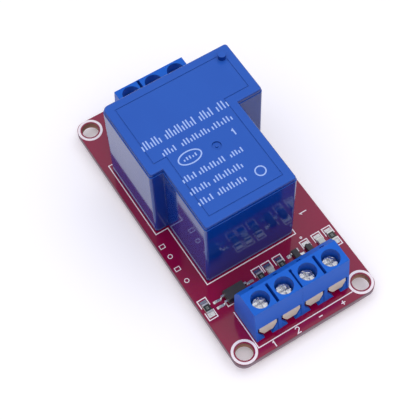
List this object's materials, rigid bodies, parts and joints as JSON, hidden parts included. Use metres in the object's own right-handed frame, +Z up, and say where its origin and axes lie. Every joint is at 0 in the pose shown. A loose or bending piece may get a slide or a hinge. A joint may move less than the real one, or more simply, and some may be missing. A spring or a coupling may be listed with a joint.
{
  "type": "relay module board",
  "caption": "Small red circuit board with a T-shaped blue sealed relay, blue screw terminals at both ends and a row of surface-mounted parts; clamp screws and relay armature move.",
  "frame": {"origin": "middle of the four mounting holes, on the underside of the board", "axes": "+Y towards the switched-contact terminals along the board's length, +X along the input terminals, +Z up out of the component side"},
  "size_m": [0.031, 0.062, 0.0252],
  "materials": {
    "board": "red solder mask over glass-fibre laminate",
    "relay_case": "moulded, satin top and glossy sides",
    "relay_base": "moulded",
    "bobbin": "moulded nylon",
    "winding": "enamelled copper wire",
    "iron": "zinc-plated soft iron",
    "contact_spring": "rolled copper alloy strip",
    "contact_strip": "stamped, tinned at the pins",
    "coil_pin": "tinned",
    "terminal_housing": "moulded polyamide",
    "contact_frame": "tin-plated brass",
    "clamp_plate": "nickel-plated",
    "screw": "nickel-plated steel",
    "chip_package": "moulded epoxy",
    "diode_body": "moulded epoxy",
    "lead": "tinned",
    "led_base": "white laminate",
    "led_lens": "clear epoxy",
    "chip_resistor": "glass-coated film on ceramic",
    "solder": "reflowed solder"
  },
  "bodies": {
    "module": {"pcb": "board", "relay_cover": "relay_case", "relay_base": "relay_base", "relay_bobbin": "bobbin", "relay_winding": "winding", "relay_core": "iron", "relay_yoke": "iron", "relay_nc_terminal": "contact_strip", "relay_no_terminal": "contact_strip", "relay_common_terminal": "contact_strip", "relay_coil_pins": "coil_pin", "input_housing_left": "terminal_housing", "input_housing_right": "terminal_housing", "input_contact_1": "contact_frame", "input_contact_2": "contact_frame", "input_contact_3": "contact_frame", "input_contact_4": "contact_frame", "output_housing": "terminal_housing", "output_contact_1": "contact_frame", "output_contact_2": "contact_frame", "output_contact_3": "contact_frame", "optocoupler_body": "chip_package", "optocoupler_leads": "lead", "transistor_body": "chip_package", "transistor_leads": "lead", "diode": "diode_body", "power_led_body": "led_base", "power_led_lens": "led_lens", "signal_led_body": "led_base", "signal_led_lens": "led_lens", "resistor_1": "chip_resistor", "resistor_2": "chip_resistor", "resistor_3": "chip_resistor", "resistor_4": "chip_resistor", "surface_solder": "solder", "pin_solder": "solder"},
    "input_clamp_body_1": {"input_clamp_1": "clamp_plate"},
    "input_screw_body_1": {"input_screw_1": "screw"},
    "input_clamp_body_2": {"input_clamp_2": "clamp_plate"},
    "input_screw_body_2": {"input_screw_2": "screw"},
    "input_clamp_body_3": {"input_clamp_3": "clamp_plate"},
    "input_screw_body_3": {"input_screw_3": "screw"},
    "input_clamp_body_4": {"input_clamp_4": "clamp_plate"},
    "input_screw_body_4": {"input_screw_4": "screw"},
    "output_clamp_body_1": {"output_clamp_1": "clamp_plate"},
    "output_screw_body_1": {"output_screw_1": "screw"},
    "output_clamp_body_2": {"output_clamp_2": "clamp_plate"},
    "output_screw_body_2": {"output_screw_2": "screw"},
    "output_clamp_body_3": {"output_clamp_3": "clamp_plate"},
    "output_screw_body_3": {"output_screw_3": "screw"},
    "armature": {"relay_armature": "iron", "relay_contact_arm": "contact_spring"}
  },
  "joints": [
    {"name": "input_clamp_travel_1", "type": "slide", "parent": "module", "child": "input_clamp_body_1", "axis": [0, 0, 1], "range_m": [-0.0009, 0]},
    {"name": "input_screw_turn_1", "type": "hinge", "parent": "input_clamp_body_1", "child": "input_screw_body_1", "pos_m": [-0.00742, -0.02495, 0.0093], "axis": [0, 0, 1], "range_deg": [-720, 0]},
    {"name": "input_clamp_travel_2", "type": "slide", "parent": "module", "child": "input_clamp_body_2", "axis": [0, 0, 1], "range_m": [-0.0009, 0]},
    {"name": "input_screw_turn_2", "type": "hinge", "parent": "input_clamp_body_2", "child": "input_screw_body_2", "pos_m": [-0.00234, -0.02495, 0.0093], "axis": [0, 0, 1], "range_deg": [-720, 0]},
    {"name": "input_clamp_travel_3", "type": "slide", "parent": "module", "child": "input_clamp_body_3", "axis": [0, 0, 1], "range_m": [-0.0009, 0]},
    {"name": "input_screw_turn_3", "type": "hinge", "parent": "input_clamp_body_3", "child": "input_screw_body_3", "pos_m": [0.00274, -0.02495, 0.0093], "axis": [0, 0, 1], "range_deg": [-720, 0]},
    {"name": "input_clamp_travel_4", "type": "slide", "parent": "module", "child": "input_clamp_body_4", "axis": [0, 0, 1], "range_m": [-0.0009, 0]},
    {"name": "input_screw_turn_4", "type": "hinge", "parent": "input_clamp_body_4", "child": "input_screw_body_4", "pos_m": [0.00782, -0.02495, 0.0093], "axis": [0, 0, 1], "range_deg": [-720, 0]},
    {"name": "output_clamp_travel_1", "type": "slide", "parent": "module", "child": "output_clamp_body_1", "axis": [0, 0, 1], "range_m": [-0.0009, 0]},
    {"name": "output_screw_turn_1", "type": "hinge", "parent": "output_clamp_body_1", "child": "output_screw_body_1", "pos_m": [-0.00428, 0.02545, 0.0093], "axis": [0, 0, 1], "range_deg": [-720, 0]},
    {"name": "output_clamp_travel_2", "type": "slide", "parent": "module", "child": "output_clamp_body_2", "axis": [0, 0, 1], "range_m": [-0.0009, 0]},
    {"name": "output_screw_turn_2", "type": "hinge", "parent": "output_clamp_body_2", "child": "output_screw_body_2", "pos_m": [0.0008, 0.02545, 0.0093], "axis": [0, 0, 1], "range_deg": [-720, 0]},
    {"name": "output_clamp_travel_3", "type": "slide", "parent": "module", "child": "output_clamp_body_3", "axis": [0, 0, 1], "range_m": [-0.0009, 0]},
    {"name": "output_screw_turn_3", "type": "hinge", "parent": "output_clamp_body_3", "child": "output_screw_body_3", "pos_m": [0.00588, 0.02545, 0.0093], "axis": [0, 0, 1], "range_deg": [-720, 0]},
    {"name": "armature_swing", "type": "hinge", "parent": "module", "child": "armature", "pos_m": [-0.00147, -0.01005, 0.0182], "axis": [1, 0, 0], "range_deg": [-3.2, 0], "stiffness_Nm_per_rad": 0.02, "springref_deg": 5.73}
  ],
  "couplings": [
    {"joint": "input_screw_turn_1", "follows": "input_clamp_travel_1", "rad_per_m": 13963},
    {"joint": "input_screw_turn_2", "follows": "input_clamp_travel_2", "rad_per_m": 13963},
    {"joint": "input_screw_turn_3", "follows": "input_clamp_travel_3", "rad_per_m": 13963},
    {"joint": "input_screw_turn_4", "follows": "input_clamp_travel_4", "rad_per_m": 13963},
    {"joint": "output_screw_turn_1", "follows": "output_clamp_travel_1", "rad_per_m": 13963},
    {"joint": "output_screw_turn_2", "follows": "output_clamp_travel_2", "rad_per_m": 13963},
    {"joint": "output_screw_turn_3", "follows": "output_clamp_travel_3", "rad_per_m": 13963}
  ]
}
